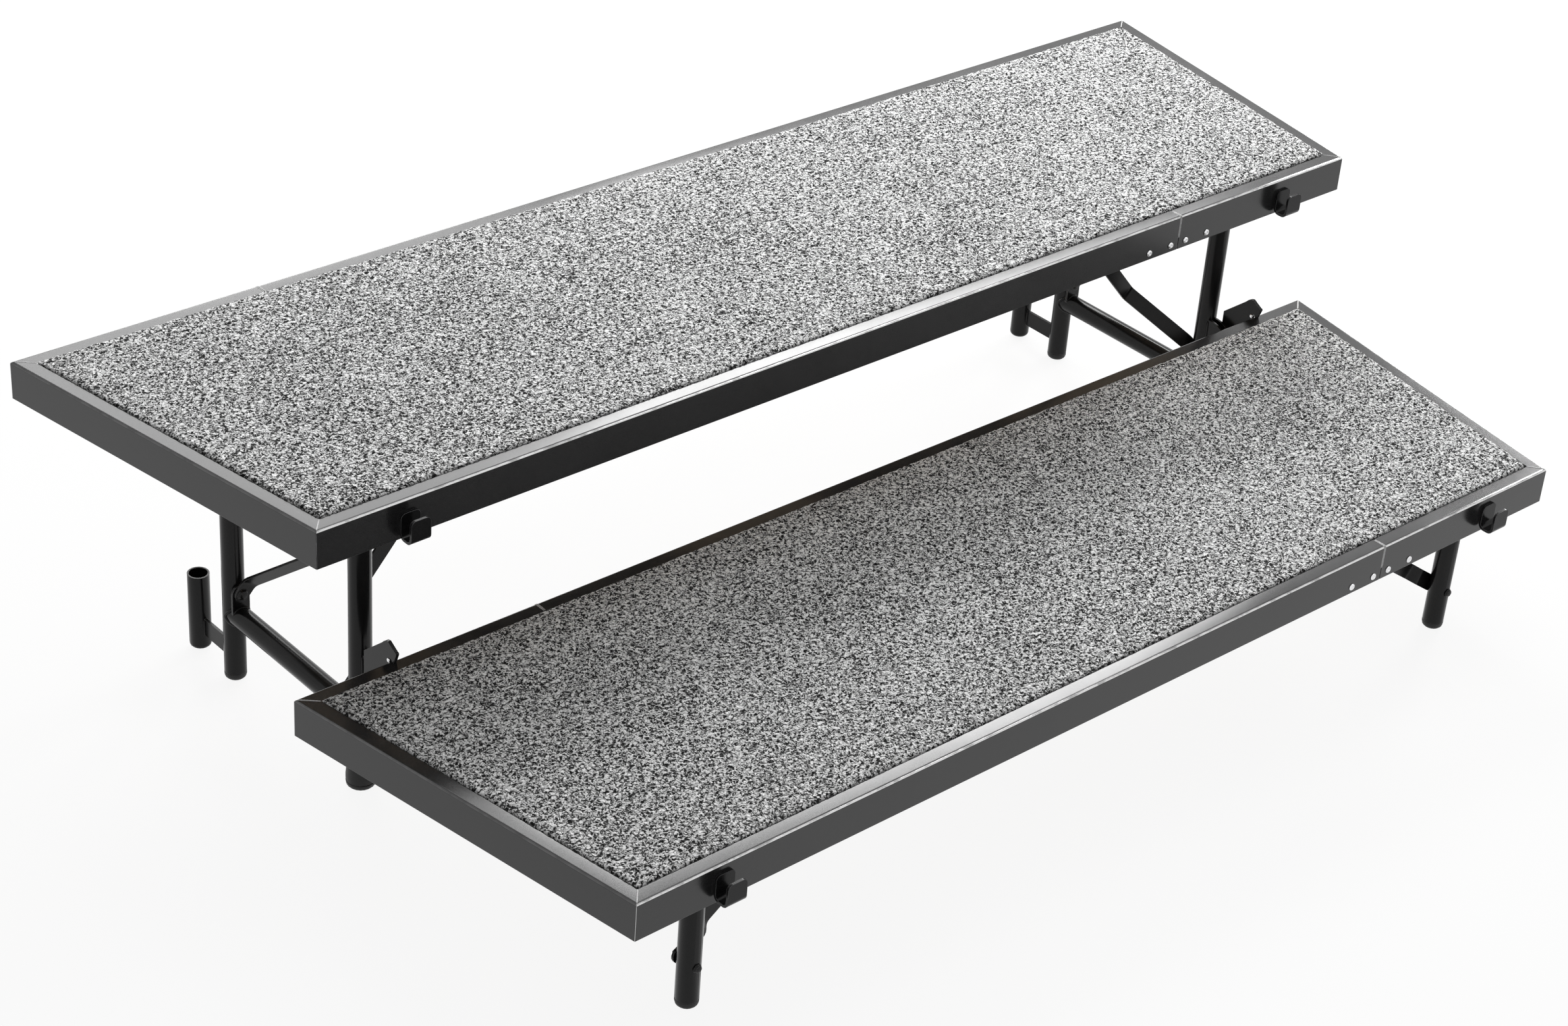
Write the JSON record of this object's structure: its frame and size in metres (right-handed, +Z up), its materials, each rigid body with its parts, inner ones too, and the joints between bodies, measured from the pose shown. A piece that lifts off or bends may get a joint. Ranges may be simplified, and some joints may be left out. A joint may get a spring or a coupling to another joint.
{
  "type": "choir riser",
  "caption": "Two-level tapered standing choir riser with carpeted decks in black steel rims, folding braced tube legs, guard-rail sockets and front rail hooks.",
  "frame": {"origin": "on the floor under the middle of the overall bounding box", "axes": "+X to the right seen from the front, along the length of the decks; +Y from the front (lower deck) to the back (upper deck); +Z up"},
  "size_m": [1.6764, 0.92, 0.4099],
  "materials": {
    "frame_paint": "black powder coat, satin, on formed steel rails",
    "black_paint": "black powder coat, satin, on steel tube, bar and plate",
    "zinc_hardware": "bright zinc plated rivets, bolts and splice plates",
    "rubber_feet": "matte black moulded rubber",
    "plywood": "unfinished plywood",
    "grey_carpet": "dense grey loop pile carpet, salt and pepper"
  },
  "bodies": {
    "upper_deck": {"upper_front_rail": "frame_paint", "upper_right_rail": "frame_paint", "upper_rear_rail": "frame_paint", "upper_left_rail": "frame_paint", "upper_front_splice": "zinc_hardware", "upper_rear_splice": "zinc_hardware", "upper_panel": "plywood", "upper_carpet": "grey_carpet", "upper_left_rail_hook": "black_paint", "upper_left_rear_hinge": "black_paint", "upper_left_front_hinge": "black_paint", "upper_left_brace_track": "black_paint", "upper_right_rail_hook": "black_paint", "upper_right_rear_hinge": "black_paint", "upper_right_front_hinge": "black_paint", "upper_right_brace_track": "black_paint"},
    "upper_left_legs": {"upper_left_rear_leg": "black_paint", "upper_left_front_leg": "black_paint", "upper_left_crossbar": "black_paint", "upper_left_rail_socket": "black_paint", "upper_left_link_bracket": "black_paint", "upper_left_rear_foot": "rubber_feet", "upper_left_front_foot": "rubber_feet"},
    "upper_right_legs": {"upper_right_rear_leg": "black_paint", "upper_right_front_leg": "black_paint", "upper_right_crossbar": "black_paint", "upper_right_rail_socket": "black_paint", "upper_right_link_bracket": "black_paint", "upper_right_rear_foot": "rubber_feet", "upper_right_front_foot": "rubber_feet"},
    "upper_left_brace": {"upper_left_rear_brace_arm": "black_paint", "upper_left_front_brace_arm": "black_paint"},
    "upper_right_brace": {"upper_right_rear_brace_arm": "black_paint", "upper_right_front_brace_arm": "black_paint"},
    "lower_deck": {"lower_front_rail": "frame_paint", "lower_right_rail": "frame_paint", "lower_rear_rail": "frame_paint", "lower_left_rail": "frame_paint", "lower_front_splice": "zinc_hardware", "lower_rear_splice": "zinc_hardware", "lower_panel": "plywood", "lower_carpet": "grey_carpet", "lower_left_rail_hook": "black_paint", "lower_left_hinge": "black_paint", "lower_left_hanger": "black_paint", "lower_left_brace_track": "black_paint", "lower_right_rail_hook": "black_paint", "lower_right_hinge": "black_paint", "lower_right_hanger": "black_paint", "lower_right_brace_track": "black_paint"},
    "lower_left_leg": {"lower_left_leg": "black_paint", "lower_left_foot": "rubber_feet", "lower_left_brace_bolt": "zinc_hardware"},
    "lower_right_leg": {"lower_right_leg": "black_paint", "lower_right_foot": "rubber_feet", "lower_right_brace_bolt": "zinc_hardware"},
    "lower_left_brace": {"lower_left_brace": "black_paint"},
    "lower_right_brace": {"lower_right_brace": "black_paint"}
  },
  "joints": [
    {"name": "upper_left_fold", "type": "hinge", "parent": "upper_deck", "child": "upper_left_legs", "pos_m": [-0.6524, 0.2114, 0.36], "axis": [0, -1, 0], "range_deg": [0, 64]},
    {"name": "upper_left_brace_fold", "type": "hinge", "parent": "upper_left_legs", "child": "upper_left_brace", "pos_m": [-0.6524, 0.2114, 0.12], "axis": [0, -1, 0], "range_deg": [-91.52, 0]},
    {"name": "upper_right_fold", "type": "hinge", "parent": "upper_deck", "child": "upper_right_legs", "pos_m": [0.6524, 0.2114, 0.36], "axis": [0, 1, 0], "range_deg": [0, 64]},
    {"name": "upper_right_brace_fold", "type": "hinge", "parent": "upper_right_legs", "child": "upper_right_brace", "pos_m": [0.6524, 0.2114, 0.12], "axis": [0, 1, 0], "range_deg": [-91.52, 0]},
    {"name": "lower_deck_lift", "type": "slide", "parent": "upper_deck", "child": "lower_deck", "axis": [0, 0, 1], "range_m": [0, 0.1]},
    {"name": "lower_left_fold", "type": "hinge", "parent": "lower_deck", "child": "lower_left_leg", "pos_m": [-0.5966, -0.3968, 0.1568], "axis": [0, -1, 0], "range_deg": [0, 90]},
    {"name": "lower_left_brace_fold", "type": "hinge", "parent": "lower_left_leg", "child": "lower_left_brace", "pos_m": [-0.5966, -0.3823, 0.053], "axis": [0, -1, 0], "range_deg": [-120.33, 0]},
    {"name": "lower_right_fold", "type": "hinge", "parent": "lower_deck", "child": "lower_right_leg", "pos_m": [0.5614, -0.3968, 0.1568], "axis": [0, 1, 0], "range_deg": [0, 90]},
    {"name": "lower_right_brace_fold", "type": "hinge", "parent": "lower_right_leg", "child": "lower_right_brace", "pos_m": [0.5614, -0.3823, 0.053], "axis": [0, 1, 0], "range_deg": [-120.33, 0]}
  ],
  "couplings": [
    {"joint": "upper_left_brace_fold", "follows": "upper_left_fold", "ratio": -1.43},
    {"joint": "upper_right_brace_fold", "follows": "upper_right_fold", "ratio": -1.43},
    {"joint": "lower_left_brace_fold", "follows": "lower_left_fold", "ratio": -1.337},
    {"joint": "lower_right_brace_fold", "follows": "lower_right_fold", "ratio": -1.337}
  ]
}
